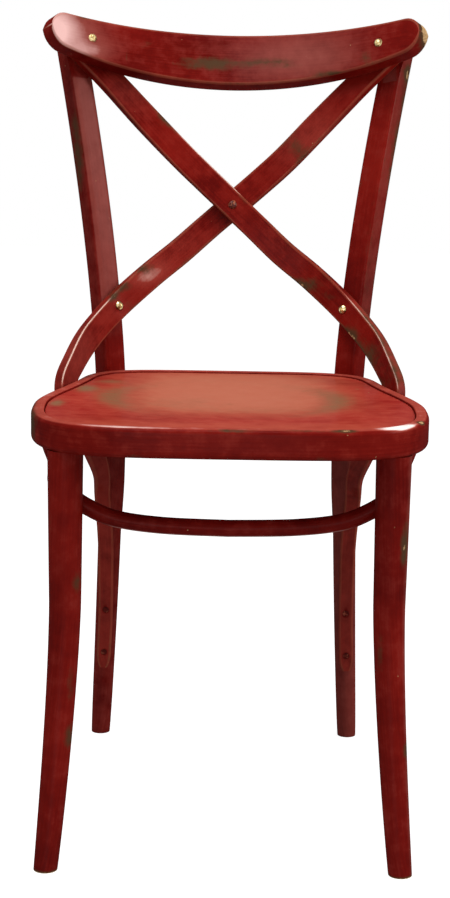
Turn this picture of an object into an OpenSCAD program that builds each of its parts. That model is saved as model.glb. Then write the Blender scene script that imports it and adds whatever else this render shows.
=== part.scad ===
// Wooden cross-back bistro chair. Millimetres, Z up, front of the chair towards -Y.
// The origin is on the floor, below the middle of the chair's outer box.

/* [Seat] */
// Height of the seat ring's top above the floor
seat_height = 470; // [455:1:485]
// Widest width of the seat ring
seat_width = 424; // [404:1:444]
// Depth of the seat ring from front to back
seat_depth = 427; // [410:1:440]
// Squareness of the two front corners of the seat
front_squareness = 4.2; // [3.8:0.1:4.6]
// Squareness of the two rear corners of the seat
rear_squareness = 4.9; // [4.5:0.1:5.3]
// Share of the width that the seat loses towards the back
rear_narrowing = 0.155; // [0.13:0.005:0.18]
// Share of the depth where the seat starts to narrow
narrowing_start = 0.38; // [0.35:0.01:0.41]
// Share of the depth over which the seat narrows
narrowing_run = 0.45; // [0.42:0.01:0.48]
// Height of the bent seat ring
ring_height = 31; // [29:1:34]
// Width of the bent seat ring, seen from above
ring_width = 38; // [36:1:42]
// Rounding of the ring's outer top edge
ring_top_round = 5; // [3:0.5:7]
// Rounding of the ring's outer bottom edge
ring_bottom_round = 5; // [3:0.5:7]
// Width of the ring's rim that stays visible around the panel
rim_width = 14; // [12:0.5:16]
// Depth of the step that carries the seat panel
rebate_depth = 9; // [8:0.5:10]
// Thickness of the pressed seat panel
panel_thickness = 7; // [6:0.5:8]
// Depth of the hollow pressed into the panel
panel_dish = 6; // [3:0.5:8]
// Gap between the panel's edge and the rim
panel_gap = 0.6; // [0.4:0.1:1]

/* [Front legs] */
// Diameter of a front leg under the seat ring
leg_top_d = 37; // [34:0.5:38]
// Diameter of a front leg at the floor
leg_foot_d = 25; // [23:0.5:28]
// Bearing of a front leg around the seat's middle, degrees from the side
leg_bearing = 44.4; // [42:0.2:47]
// Height where a front leg starts to curve outwards
leg_bend_height = 280; // [240:5:320]
// Sideways splay of a front foot
leg_splay_side = 17; // [10:1:24]
// Forward splay of a front foot
leg_splay_front = 38; // [24:1:44]
// Diameter of the round tenon on top of a front leg
leg_tenon_d = 22; // [20:0.5:24]
// Length of the round tenon on top of a front leg
leg_tenon_length = 19; // [15:0.5:20]

/* [Rear posts] */
// Width of a post's inner facet above the seat
post_width = 29.5; // [27:0.5:31]
// Depth of a post across its inner facet
post_depth = 29.5; // [27:0.5:31]
// Turn of the post's facets towards the middle of the back, degrees
post_turn = 32; // [30:0.5:34]
// Bearing of a rear post around the seat's middle, degrees from the side
post_bearing = 50.7; // [50:0.1:51.4]
// Depth of the seat ring's housing for a post
post_housing = 5; // [3:0.5:6]
// Sideways flare of a post between the seat and the crest rail
post_flare = 52.5; // [50:0.5:55]
// Distance of a post's middle line behind the crest rail's lower front edge, at the top
post_behind_crest = 12.5; // [11.5:0.1:14.5]
// Sideways splay of a rear foot
rear_splay_side = 13; // [8:1:18]
// Backward rake of a rear foot
rear_rake = 37; // [28:1:46]
// Diameter of a rear leg at the floor
rear_foot_d = 22.5; // [21:0.5:25]
// Rise of a post's top end above the crest rail's lower front edge
post_top_rise = 60; // [57:1:62]

/* [Crest rail] */
// Overall width of the crest rail
crest_width = 453; // [448:1:458]
// Height of the rail's board at the middle
crest_height = 63; // [59:1:67]
// Height of the rail's board at its rounded ends
crest_end_height = 39; // [36:1:42]
// Thickness of the rail
crest_thickness = 23; // [21:0.5:24]
// Radius of the rail's hollow front face
crest_radius = 370; // [360:2:380]
// Backward tilt of the rail, degrees
crest_tilt = 22; // [20:0.5:23.5]
// Height of the lower front edge at the middle of the rail
crest_bottom_height = 811; // [807:1:815]
// Distance of that edge behind the seat's front edge
crest_setback = 454; // [452:0.5:458]
// Rounding of the rail's long edges
crest_round = 3.5; // [2:0.5:5]

/* [Cross strips] */
// Width of a strip across the back
strip_width = 31.5; // [28:0.5:33]
// Thickness of a strip across the back
strip_thickness = 12; // [10.5:0.5:12.5]
// Width of a strip's lower end on the rear leg
tongue_width = 17.5; // [16:0.5:20]
// Thickness of a strip's lower end on the rear leg
tongue_thickness = 9; // [8:0.5:10]
// Height of the strips' crossing
crossing_height = 667; // [660:1:674]
// Height of the screw from a strip into its post
post_screw_height = 548.5; // [544:0.5:553]
// Height of a strip's lower end
tongue_height = 94; // [88:1:100]
// Rounding of a strip's long edges
strip_round = 2.2; // [1.5:0.1:3]

/* [Front stretcher] */
// Diameter of the bent front stretcher
bow_d = 18; // [16:0.5:19]
// Drop of the stretcher's middle below the seat ring
bow_drop = 86; // [78:1:94]
// Bearing of a stretcher end around the seat's middle, degrees from the side
bow_bearing = 17; // [14:0.5:22]
// Diameter of the round tenons on the stretcher's ends
bow_tenon_d = 13; // [11:0.5:14]
// Length of the round tenons on the stretcher's ends
bow_tenon_length = 16; // [12:0.5:18]

/* [Fasteners] */
// Diameter of the round screw heads on the back
dome_head_d = 10.5; // [9:0.5:12]
// Shank diameter of the wood screws
screw_d = 4; // [3.5:0.1:4.5]
// Head diameter of the small screws in the stretcher
small_head_d = 8; // [7.5:0.5:9]
// Length of the screws through the crest rail
crest_screw_length = 50; // [46:1:54]
// Length of the screws from the strips into the posts
post_screw_length = 30; // [24:1:31]
// Length of the screw at the strips' crossing
crossing_screw_length = 20; // [16:1:22]
// Length of the screws from the strips into the seat ring
side_screw_length = 30; // [24:1:32]
// Length of the screws from the stretcher into the front legs
bow_screw_length = 32; // [28:1:34]
// Length of the sunk screws in the strips' lower ends
sunk_screw_length = 25; // [18:1:26]
// Head diameter of the sunk screws on the rear legs
sunk_head_d = 7.4; // [7:0.2:8]
// Diameter of the bolts that hold the rear posts
bolt_d = 6; // [5:0.5:7]
// Gap around screws, bolts and tenons in their holes
hole_gap = 0.1; // [0.05:0.05:0.2]
// Gap between pieces that lie against each other
seat_gap = 0.1; // [0.05:0.05:0.2]

/* [Hidden] */
$fn = 48;

paint = [0.50, 0.09, 0.07];
paint_worn = [0.68, 0.32, 0.26];
brass_colour = [0.80, 0.66, 0.36];
steel_colour = [0.35, 0.33, 0.31];

left = -1;
right = 1;
seat_bottom = seat_height - ring_height;
half_depth = seat_depth / 2;
outline_steps = 96;

function smooth(u) = let (c = min(1, max(0, u))) c * c * (3 - 2 * c);
function unit(v) = v / norm(v);
function lerp(a, b, u) = a + (b - a) * u;

// Seat outline: a squared oval that narrows towards the back
function seat_point(f) =
    let (n = sin(f) > 0 ? rear_squareness : front_squareness,
         a = seat_width / 2, b = half_depth,
         r = pow(pow(abs(cos(f)) / a, n) + pow(abs(sin(f)) / b, n), -1 / n),
         y = b + r * sin(f),
         narrow = rear_narrowing * smooth((y / seat_depth - narrowing_start) / narrowing_run))
    [r * cos(f) * (1 - narrow), y];
function seat_normal(f) =
    let (d = seat_point(f + 0.4) - seat_point(f - 0.4)) unit([d.y, -d.x]);
function seat_inset(f, inset) = seat_point(f) - inset * seat_normal(f);

// Catmull-Rom curve through a list of points with any number of values each
function curve_at(p, i, u) =
    let (n = len(p) - 1, a = p[max(0, i - 1)], b = p[i], c = p[min(n, i + 1)], d = p[min(n, i + 2)])
    0.5 * (2 * b + (c - a) * u + (2 * a - 5 * b + 4 * c - d) * u * u
           + (3 * b - 3 * c + d - a) * u * u * u);
function curve(p, steps) = [
    for (i = [0 : len(p) - 2]) for (k = [0 : steps - 1]) curve_at(p, i, k / steps),
    p[len(p) - 1]
];

// Skin over a row of rings of points, with flat caps or closed into a loop
module skin(rings, closed = false) {
    n = len(rings);
    m = len(rings[0]);
    last = closed ? n - 1 : n - 2;
    sides = [
        for (i = [0 : last]) for (j = [0 : m - 1])
        let (k = (i + 1) % n, l = (j + 1) % m) [i * m + j, k * m + j, k * m + l, i * m + l]
    ];
    caps = closed ? [] : [
        [for (j = [0 : m - 1]) j],
        [for (j = [m - 1 : -1 : 0]) (n - 1) * m + j]
    ];
    polyhedron([for (r = rings) for (p = r) p], concat(sides, caps), convexity = 8);
}

// Rounded rectangle, counter-clockwise, three points on each corner
function rounded_box(w, t, r) =
    let (q = min(r, 0.48 * min(w, t)))
    [for (c = [0 : 3]) for (k = [0 : 2])
        let (a = 90 * c + 45 * k, sx = (c == 0 || c == 3) ? 1 : -1, sy = c < 2 ? 1 : -1)
        [sx * (w / 2 - q) + q * cos(a), sy * (t / 2 - q) + q * sin(a)]];
// Squared circle: exponent 2 is round, higher ones are squarer
function squared_circle(w, d, n, count) =
    [for (j = [0 : count - 1])
        let (a = 360 * j / count, c = cos(a), s = sin(a),
             r = pow(pow(abs(c), n) + pow(abs(s), n), -1 / n))
        [w / 2 * r * c, d / 2 * r * s]];

module place() translate([0, -box_middle, 0]) children();
// Puts a child's Z axis on a direction at a point
module aim(p, d) {
    u = unit(d);
    translate(p) rotate([0, acos(u.z), atan2(u.y, u.x)]) children();
}
module bore(p, d, diameter, depth, lead = 1)
    aim(p, d) translate([0, 0, -lead]) cylinder(d = diameter, h = depth + lead);

// Front legs
leg_top = seat_inset(-leg_bearing, ring_width / 2);
function leg_bend(z) = pow(max(0, leg_bend_height - z) / leg_bend_height, 1.45);
foot_chamfer = 1.5;
function leg_centre(z) = [
    leg_top.x + leg_splay_side * leg_bend(z), leg_top.y - leg_splay_front * leg_bend(z), z
];
function leg_radius(z) =
    (leg_foot_d + (leg_top_d - leg_foot_d) * pow(z / seat_bottom, 0.75)) / 2;

// Rear posts, from the foot to behind the crest rail
post_out = [sin(post_turn), cos(post_turn), 0];
post_side = [cos(post_turn), -sin(post_turn), 0];
post_seat = let (p = seat_point(post_bearing))
    [p.x, p.y, 0] + post_out * (post_depth / 2 - post_housing);
post_lean = crest_setback + post_behind_crest - post_seat.y;
post_kink = seat_bottom - 9;
post_rise = 420;
leg_flare_start = 330;
post_square_from = 260;
post_square_run = 140;
function post_centre(z) =
    let (up = max(0, z - post_kink) / post_rise,
         out = max(0, leg_flare_start - z) / leg_flare_start,
         down = max(0, post_kink - z) / post_kink)
    [post_seat.x + post_flare * pow(up, 1.55) + rear_splay_side * pow(out, 1.3),
     post_seat.y + post_lean * up * up + rear_rake * pow(down, 1.3), z];
function post_thick(z, full) = lerp(rear_foot_d, full, pow(min(1, z / post_kink), 0.5));
function post_squareness(z) = 2 + 4 * smooth((z - post_square_from) / post_square_run);
// How far a post reaches forward of its centre line
function post_reach(z) =
    let (q = post_squareness(z) / (post_squareness(z) - 1))
    post_thick(z, max(post_width, post_depth)) / 2
        * pow(pow(cos(post_turn), q) + pow(sin(post_turn), q), 1 / q);

// Crest rail: board frame with arc angle a, height v up the board and distance off behind its front
crest_half_angle = asin(crest_width / 2 / (crest_radius + crest_thickness));
crest_end_angle = crest_end_height / 2 / (crest_radius + crest_thickness / 2) * 180 / PI;
function crest_point(a, v, off) =
    let (w = (crest_radius + off) * cos(a) - crest_radius)
    [(crest_radius + off) * sin(a),
     crest_setback + w * cos(crest_tilt) + v * sin(crest_tilt),
     crest_bottom_height - w * sin(crest_tilt) + v * cos(crest_tilt)];
function crest_out(a) = [sin(a), cos(a) * cos(crest_tilt), -cos(a) * sin(crest_tilt)];
function crest_board(a) =
    crest_height - (crest_height - crest_end_height) * pow(a / crest_half_angle, 2);
function crest_middle(a) = crest_height - crest_board(a) / 2;
function crest_half(a) =
    let (u = max(0, abs(a) - crest_half_angle + crest_end_angle) / crest_end_angle)
    max(1.5, crest_board(a) / 2 * sqrt(max(0, 1 - u * u)));
crest_screw_angle = 27;
post_top_height = crest_bottom_height + post_top_rise;

// The chair's outer box runs from the front feet or the seat's edge to the crest rail's back
box_front = min(0, leg_top.y - leg_splay_front - leg_foot_d / 2);
box_back = crest_setback + crest_thickness * cos(crest_tilt)
    + (crest_height - crest_round) * sin(crest_tilt);
box_middle = (box_front + box_back) / 2;

// Cross strips: points on the route for the side on which a strip ends, each with its facing
behind_crest = crest_thickness + strip_thickness / 2 + seat_gap;
back_radius = crest_radius + behind_crest;
// The two strips lie on one hollow surface between the crest rail and the posts
post_front = post_centre(post_screw_height)
    - post_out * (post_depth / 2 + strip_thickness / 2 + seat_gap) - post_side * 4;
surface_top = crest_point(0, 0, behind_crest);
low_radius = 290;
surface_low = post_front.y + low_radius - sqrt(pow(low_radius, 2) - pow(post_front.x, 2));
function surface_y(x, z) =
    let (u = (z - post_screw_height) / (surface_top.z - post_screw_height),
         r = lerp(low_radius, back_radius, u),
         mid = lerp(surface_low, surface_top.y, 0.22 * u + 0.78 * u * u))
    mid - r + sqrt(r * r - x * x);
function surface_out(x, z) =
    let (e = 2, sx = (surface_y(x + e, z) - surface_y(x - e, z)) / (2 * e),
         sz = (surface_y(x, z + e) - surface_y(x, z - e)) / (2 * e))
    unit([-sx, 1, -sz]);
function on_surface(x, z, lift, w) =
    let (n = surface_out(x, z), p = [x, surface_y(x, z), z] + n * lift)
    concat(p, n, [w, strip_thickness]);
function facing(turn) = [sin(turn), cos(turn), 0];
function on_crest(a, v) =
    concat(crest_point(a, v, behind_crest), crest_out(a), [strip_width - 1, strip_thickness]);
function on_leg(z, shift, turn, w) =
    let (p = post_centre(z), t = tongue_thickness)
    concat([p.x + shift, p.y - post_reach(z) - t / 2 - seat_gap, z], facing(turn), [w, t]);
// Where a strip lies against the ring's side, and its points above and below, measured from there
contact_bearing = 22;
contact_turn = 60;
strip_housing = 1;
ring_contact = let (p = seat_point(contact_bearing))
    [p.x, p.y, seat_bottom + ring_height / 2]
    + facing(contact_turn) * (strip_thickness / 2 - strip_housing);
above_far = [-24, 65, 62];
above_near = [-8, 28, 35];
beside_top = [0, 6, 12];
beside_bottom = [-5.5, 3, -17];
below_near = [-23, 15, -46];
below_mid = [-33, 40, -76];
below_far = [-38.2, 72, -106];
function by_seat(shift, turn, w, t) = concat(ring_contact + shift, facing(turn), [w, t]);
crossing_lift = strip_thickness / 2 + seat_gap;
// Heights on a strip's way, as a share of the way up, down or along the leg
function above_crossing(share) = lerp(crossing_height, surface_top.z, share);
function below_crossing(share) = lerp(crossing_height, post_screw_height, share);
function up_leg(share) = lerp(tongue_height, seat_bottom, share);
function strip_route(lift) = [
    on_crest(-29.5, 45), on_crest(-25.4, 23.5), on_crest(-21.2, -1),
    on_surface(-104, above_crossing(0.75), 0, strip_width),
    on_surface(-63.5, above_crossing(0.436), lift * 0.7, strip_width),
    on_surface(-33, above_crossing(0.222), lift, strip_width),
    on_surface(0, crossing_height, lift, strip_width),
    on_surface(31, below_crossing(0.232), lift, strip_width),
    on_surface(62, below_crossing(0.468), lift * 0.7, strip_width),
    on_surface(98, below_crossing(0.71), 0, strip_width),
    concat(post_front, post_out, [strip_width, strip_thickness]),
    by_seat(above_far, 34, strip_width - 1, strip_thickness),
    by_seat(above_near, 50, strip_width - 2, strip_thickness),
    by_seat(beside_top, contact_turn - 3, strip_width - 2.5, strip_thickness),
    by_seat(beside_bottom, contact_turn, strip_width - 3, strip_thickness),
    by_seat(below_near, 48, strip_width - 5, strip_thickness - 0.8),
    by_seat(below_mid, 33, strip_width - 8, strip_thickness - 1.6),
    by_seat(below_far, 20, strip_width - 12, strip_thickness - 2.2),
    on_leg(up_leg(0.643), 9, 9, tongue_width + 1.5),
    on_leg(up_leg(0.487), 4, 5, tongue_width + 1.5),
    on_leg(up_leg(0.336), 1.5, 0, tongue_width + 0.5),
    on_leg(up_leg(0.191), 0, 0, tongue_width),
    on_leg(up_leg(0.075), 0, 0, tongue_width), on_leg(tongue_height, 0, 0, tongue_width)
];
strip_steps = 4;

// Front stretcher
bow_end = seat_inset(-bow_bearing, ring_width / 2);
bow_screw_height = seat_bottom - 51.5;
bow_back = leg_top.y + leg_radius(bow_screw_height) + bow_d / 2 + seat_gap;
bow_route = [
    [bow_end.x, bow_end.y, seat_bottom], [bow_end.x, bow_end.y - 3, seat_bottom - 12],
    [bow_end.x - 9, bow_end.y - 22, seat_bottom - 30],
    [leg_top.x + 13, bow_back + 14, seat_bottom - 41],
    [leg_top.x + 2, bow_back + 1.5, seat_bottom - 50],
    [leg_top.x - 20, bow_back, seat_bottom - 65],
    [leg_top.x - 50, bow_back, seat_bottom - bow_drop + 8.5],
    [leg_top.x - 100, bow_back, seat_bottom - bow_drop + 2],
    [0, bow_back, seat_bottom - bow_drop]
];

// Fastener places
post_screw_from = post_front - post_out * (strip_thickness / 2);
crest_screw_from = crest_point(crest_screw_angle, crest_middle(crest_screw_angle), 0);
crossing_out = surface_out(0, crossing_height);
crossing_from = [0, surface_y(0, crossing_height), crossing_height]
    - crossing_out * (strip_thickness + seat_gap);
side_screw_dir = -facing(contact_turn);
side_screw_from = ring_contact - side_screw_dir * (strip_thickness / 2);
lower_screw_heights = [tongue_height + 20, tongue_height + 76];
function lower_screw_from(z) =
    let (p = post_centre(z)) [p.x, p.y - post_reach(z) - tongue_thickness - seat_gap, z];
bow_screw_from = [leg_top.x, bow_back + bow_d / 2, bow_screw_height];
bolt_height = seat_bottom + 14;
bolt_axis = [post_seat.x, post_seat.y, bolt_height];
bolt_outer = bolt_axis + post_out * post_depth / 2;
ring_inner = post_depth + ring_width - post_housing - 4;
slot_width = 1;
screw_tip = 4;
sunk_head_h = 2.6;
sunk_depth = 0.5;
bolt_head_d = 15;
bolt_head_h = 4;
washer_d = 16;
washer_h = 1.2;
nut_w = 10;
nut_h = 5;
bolt_length = ring_inner + washer_h + nut_h + 3;

// Screws and bolts point along +Z from the underside of their heads
module dome_screw(length, head = dome_head_d) {
    rise = head * 0.28;
    ball = (pow(head / 2, 2) + pow(rise, 2)) / (2 * rise);
    difference() {
        intersection() {
            translate([0, 0, ball - rise]) sphere(r = ball);
            translate([0, 0, -rise]) cylinder(d = head, h = rise);
        }
        translate([-head / 2, -slot_width / 2, -rise - 1])
            cube([head, slot_width, 1 + rise * 0.4]);
    }
    screw_shank(length);
}
module sunk_screw(length) {
    difference() {
        cylinder(d1 = sunk_head_d, d2 = screw_d, h = sunk_head_h);
        translate([-sunk_head_d / 2, -slot_width / 2, -1])
            cube([sunk_head_d, slot_width, 1.9]);
    }
    screw_shank(length);
}
module screw_shank(length) {
    cylinder(d = screw_d, h = length - screw_tip);
    translate([0, 0, length - screw_tip]) cylinder(d1 = screw_d, d2 = 1, h = screw_tip);
}
module pilot(p, d, length, lead = 1) bore(p, d, screw_d + 2 * hole_gap, length + 0.3, lead);

// Flat under a round screw head
module spot_face(p, d, head = dome_head_d) aim(p, -d) cylinder(d = head + 0.6, h = 4);

module both_sides() {
    children();
    mirror([1, 0, 0]) children();
}
module on_side(side) if (side == right) children(); else mirror([1, 0, 0]) children();

// Seat
ring_profile = concat(
    [for (a = [0 : 22.5 : 90]) ring_bottom_round * [1 - sin(a), 1 - cos(a)]],
    [for (a = [0 : 22.5 : 90]) [0, ring_height - ring_top_round]
        + ring_top_round * [1 - cos(a), sin(a)]],
    [[rim_width - 1.5, ring_height], [rim_width, ring_height - 1.5],
     [rim_width, ring_height - rebate_depth], [ring_width, ring_height - rebate_depth],
     [ring_width, 3], [ring_width - 3, 0]]
);
module seat_ring() {
    color(paint) place() difference() {
        skin([for (i = [0 : outline_steps - 1]) let (f = -360 * i / outline_steps)
            [for (p = ring_profile) let (q = seat_inset(f, p.x)) [q.x, q.y, seat_bottom + p.y]]],
            closed = true);
        both_sides() {
            bore([leg_top.x, leg_top.y, seat_bottom], [0, 0, 1],
                leg_tenon_d + 2 * hole_gap, leg_tenon_length + 0.5);
            bore([bow_end.x, bow_end.y, seat_bottom], [0, 0, 1],
                bow_tenon_d + 2 * hole_gap, bow_tenon_length + 0.5);
            post_housing_cut();
            strip_body(0, 2 * seat_gap);
            bore(bolt_outer, -post_out, bolt_d + 2 * hole_gap, bolt_length + 20);
            bore(bolt_axis - post_out * (ring_inner - post_depth / 2), -post_out,
                washer_d + 1, 30, 0);
            pilot(side_screw_from, side_screw_dir, side_screw_length);
        }
    }
}
// Flat seat in the ring for a post
module post_housing_cut() {
    size = post_width + 2 * seat_gap;
    translate([post_seat.x, post_seat.y, seat_bottom - 1]) rotate(-post_turn)
        translate([-size / 2, -post_depth / 2 - seat_gap, 0])
            cube([size, post_depth + 10, ring_height + 2]);
}

panel_edge = rim_width + panel_gap;
panel_scales = [0.28, 0.52, 0.72, 0.88, 0.97];
function panel_ring(s, z) = [
    for (i = [0 : outline_steps - 1])
    let (q = seat_inset(360 * i / outline_steps, panel_edge))
    [q.x * s, half_depth + (q.y - half_depth) * s, z]
];
function dish(s) = panel_dish * (1 - smooth((s - 0.15) / 0.75));
module seat_panel() {
    bottom = seat_height - rebate_depth + seat_gap;
    top = bottom + panel_thickness;
    color(paint_worn) place() skin(concat(
        [for (s = panel_scales) panel_ring(s, bottom - dish(s))],
        [panel_ring(1, bottom), panel_ring(1, top - 1), panel_ring(0.995, top)],
        [for (k = [len(panel_scales) - 1 : -1 : 0])
            panel_ring(panel_scales[k], top - dish(panel_scales[k]))]));
}

module front_leg(side) {
    steps = 20;
    heights = concat([0, foot_chamfer], [for (i = [1 : steps]) seat_bottom * i / steps]);
    color(paint) place() on_side(side) difference() {
        union() {
            skin([for (z = heights)
                let (c = leg_centre(z), r = leg_radius(z) - (z == 0 ? foot_chamfer : 0))
                [for (a = [0 : 15 : 345]) c + r * [cos(a), sin(a), 0]]]);
            translate([leg_top.x, leg_top.y, seat_bottom - 1])
                cylinder(d = leg_tenon_d, h = leg_tenon_length + 1);
        }
        pilot(bow_screw_from, [0, -1, 0], bow_screw_length);
    }
}

module rear_post(side) {
    steps = 34;
    end = 6;
    heights = concat([0, foot_chamfer],
        [for (i = [1 : steps]) (post_top_height - end) * i / steps],
        [post_top_height - 3, post_top_height - 1, post_top_height]);
    color(paint) place() on_side(side) difference() {
        skin([for (z = heights)
            let (c = post_centre(z),
                 trim = z == 0 ? foot_chamfer : z > post_top_height - end + 0.1
                     ? end - sqrt(end * end - pow(z - post_top_height + end, 2)) : 0)
            [for (q = squared_circle(post_thick(z, post_width) - 2 * trim,
                    post_thick(z, post_depth) - 2 * trim, post_squareness(z), 24))
                c + post_side * q.x + post_out * q.y]]);
        crest_seat_cut();
        strip_body(0, 2 * seat_gap);
        aim(bolt_outer, post_out) cylinder(d = bolt_head_d + 1, h = 10);
        bore(bolt_outer, -post_out, bolt_d + 2 * hole_gap, post_depth + 1, 20);
        pilot(post_screw_from, post_out, post_screw_length);
        pilot(crest_screw_from, crest_out(crest_screw_angle), crest_screw_length);
        for (z = lower_screw_heights) pilot(lower_screw_from(z), [0, 1, 0], sunk_screw_length + 1);
    }
}
// Hollow seat on the posts' tops for the strips behind the crest rail
module crest_seat_cut()
    translate([0, crest_setback, crest_bottom_height]) rotate([-crest_tilt, 0, 0])
        translate([0, -crest_radius, 2])
            cylinder(r = crest_radius + crest_thickness + strip_thickness + 2 * seat_gap,
                h = 90, $fn = 180);

module crest_rail() {
    half = crest_half_angle;
    bend = half - crest_end_angle;
    angles = concat(
        [for (u = [1, 0.97, 0.9, 0.75, 0.5, 0.25]) -bend - crest_end_angle * u],
        [for (i = [-12 : 12]) bend * i / 12],
        [for (u = [0.25, 0.5, 0.75, 0.9, 0.97, 1]) bend + crest_end_angle * u]);
    color(paint) place() difference() {
        skin([for (a = angles)
            [for (q = rounded_box(crest_thickness, 2 * crest_half(a), crest_round))
                crest_point(a, crest_middle(a) + q.y, crest_thickness / 2 + q.x)]]);
        both_sides() pilot(crest_screw_from, crest_out(crest_screw_angle), crest_screw_length);
    }
}

// One strip, from behind the crest rail on one side to the rear leg on the other
module strip_body(lift, grow = 0) {
    route = curve(strip_route(lift), strip_steps);
    n = len(route) - 1;
    at = [for (r = route) [r[0], r[1], r[2]]];
    tongue_round = [1, 0.94, 0.8, 0.55];
    skin([for (i = [0 : n])
        let (run = unit(at[min(n, i + 1)] - at[max(0, i - 1)]),
             out0 = [route[i][3], route[i][4], route[i][5]],
             out = unit(out0 - (out0 * run) * run), across = cross(out, run),
             trim = i > n - 4 ? tongue_round[i - n + 3] : i == 0 ? 0.8 : 1)
        [for (q = rounded_box(route[i][6] * trim + grow, route[i][7] + grow, strip_round))
            at[i] + across * q.x + out * q.y]]);
}
module cross_strip(side, lift) {
    color(paint) place() on_side(side) difference() {
        strip_body(lift);
        pilot(crossing_from, crossing_out, crossing_screw_length, 3);
        pilot(post_screw_from, post_out, post_screw_length);
        spot_face(post_screw_from, post_out);
        spot_face(side_screw_from, side_screw_dir);
        mirror([1, 0, 0])
            pilot(crest_screw_from, crest_out(crest_screw_angle), crest_screw_length);
        pilot(side_screw_from, side_screw_dir, side_screw_length, 3);
        for (z = lower_screw_heights) {
            pilot(lower_screw_from(z), [0, 1, 0], sunk_screw_length + 1);
            aim(lower_screw_from(z) - [0, 1, 0], [0, 1, 0])
                cylinder(d = sunk_head_d + 0.6, h = 1 + sunk_depth + hole_gap);
            aim(lower_screw_from(z) + [0, sunk_depth, 0], [0, 1, 0]) cylinder(
                d1 = sunk_head_d + 2 * hole_gap, d2 = screw_d + 2 * hole_gap, h = sunk_head_h);
        }
    }
}

module front_stretcher() {
    half = curve(bow_route, 4);
    n = len(half) - 1;
    route = concat(half, [for (i = [n - 1 : -1 : 0]) [-half[i].x, half[i].y, half[i].z]]);
    last = len(route) - 1;
    color(paint) place() difference() {
        union() {
            skin([for (i = [0 : last])
                let (run = i == 0 ? [0, 0, -1] : i == last ? [0, 0, 1]
                         : unit(route[i + 1] - route[i - 1]),
                     side = unit(cross([0, 1, 0.001], run)), up = cross(run, side))
                [for (a = [0 : 22.5 : 337.5])
                    route[i] + bow_d / 2 * (cos(a) * side + sin(a) * up)]]);
            both_sides() translate([bow_end.x, bow_end.y, seat_bottom - 1])
                cylinder(d = bow_tenon_d, h = bow_tenon_length + 1);
        }
        both_sides() {
            pilot(bow_screw_from, [0, -1, 0], bow_screw_length, 3);
            spot_face(bow_screw_from, [0, -1, 0], small_head_d);
        }
    }
}

module crest_screws() color(brass_colour) place() both_sides()
    aim(crest_screw_from, crest_out(crest_screw_angle)) dome_screw(crest_screw_length);
module post_strip_screws() color(brass_colour) place() both_sides()
    aim(post_screw_from, post_out) dome_screw(post_screw_length);
module crossing_screw() color(paint) place()
    aim(crossing_from, crossing_out) dome_screw(crossing_screw_length);
module seat_side_screws() color(steel_colour) place() both_sides()
    aim(side_screw_from, side_screw_dir) dome_screw(side_screw_length);
module lower_strip_screws() color(steel_colour) place() both_sides()
    for (z = lower_screw_heights)
        aim(lower_screw_from(z) + [0, sunk_depth, 0], [0, 1, 0]) sunk_screw(sunk_screw_length);
module stretcher_screws() color(steel_colour) place() both_sides()
    aim(bow_screw_from, [0, -1, 0]) dome_screw(bow_screw_length, small_head_d);

module post_bolts() color(steel_colour) place() both_sides()
    aim(bolt_outer, -post_out) {
        cylinder(d = bolt_d, h = bolt_length);
        intersection() {
            translate([0, 0, 8]) sphere(r = 11);
            translate([0, 0, -bolt_head_h]) cylinder(d = bolt_head_d, h = bolt_head_h);
        }
    }
module post_bolt_washers() color(steel_colour) place() both_sides()
    aim(bolt_outer - post_out * ring_inner, -post_out) difference() {
        cylinder(d = washer_d, h = washer_h);
        translate([0, 0, -1]) cylinder(d = bolt_d + 2 * hole_gap, h = washer_h + 2);
    }
module post_bolt_nuts() color(steel_colour) place() both_sides()
    aim(bolt_outer - post_out * (ring_inner + washer_h), -post_out) difference() {
        cylinder(d = nut_w / cos(30), h = nut_h, $fn = 6);
        translate([0, 0, -1]) cylinder(d = bolt_d + 2 * hole_gap, h = nut_h + 2);
    }

seat_ring();
seat_panel();
front_leg(left);  // front_leg_left
front_leg(right);  // front_leg_right
rear_post(left);  // rear_post_left
rear_post(right);  // rear_post_right
crest_rail();
cross_strip(right, -crossing_lift);  // cross_strip_front
cross_strip(left, crossing_lift);  // cross_strip_rear
front_stretcher();
crest_screws();
post_strip_screws();
crossing_screw();
seat_side_screws();
lower_strip_screws();
stretcher_screws();
post_bolts();
post_bolt_washers();
post_bolt_nuts();
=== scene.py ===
# Wooden cross-back bistro chair: painted beech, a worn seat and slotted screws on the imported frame.
import math
import bpy
import bmesh
import numpy as np
from mathutils import Matrix, Vector


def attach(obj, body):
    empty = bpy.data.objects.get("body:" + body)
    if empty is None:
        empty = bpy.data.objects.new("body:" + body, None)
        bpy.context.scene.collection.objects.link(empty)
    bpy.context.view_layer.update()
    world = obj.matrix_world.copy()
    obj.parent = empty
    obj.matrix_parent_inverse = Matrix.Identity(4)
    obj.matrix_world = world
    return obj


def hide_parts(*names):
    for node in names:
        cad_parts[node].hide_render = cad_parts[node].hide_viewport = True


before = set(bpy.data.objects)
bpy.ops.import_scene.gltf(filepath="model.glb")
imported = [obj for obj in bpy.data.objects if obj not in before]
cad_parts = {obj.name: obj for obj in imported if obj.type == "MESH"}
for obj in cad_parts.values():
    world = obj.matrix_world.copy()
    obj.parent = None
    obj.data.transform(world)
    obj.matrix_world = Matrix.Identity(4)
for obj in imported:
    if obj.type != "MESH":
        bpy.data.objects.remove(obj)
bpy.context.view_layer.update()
scene = bpy.context.scene
mm = 0.001  # one millimetre in metres
frameMiddle = 247.478  # the frame's origin lies this far behind the seat's front edge, mm


# sums in degrees and mm
def sind(a):
    return np.sin(np.radians(a))


def cosd(a):
    return np.cos(np.radians(a))


def smooth(u):
    c = np.clip(u, 0, 1)
    return c * c * (3 - 2 * c)


def lerp(a, b, u):
    return a + (b - a) * u


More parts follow.
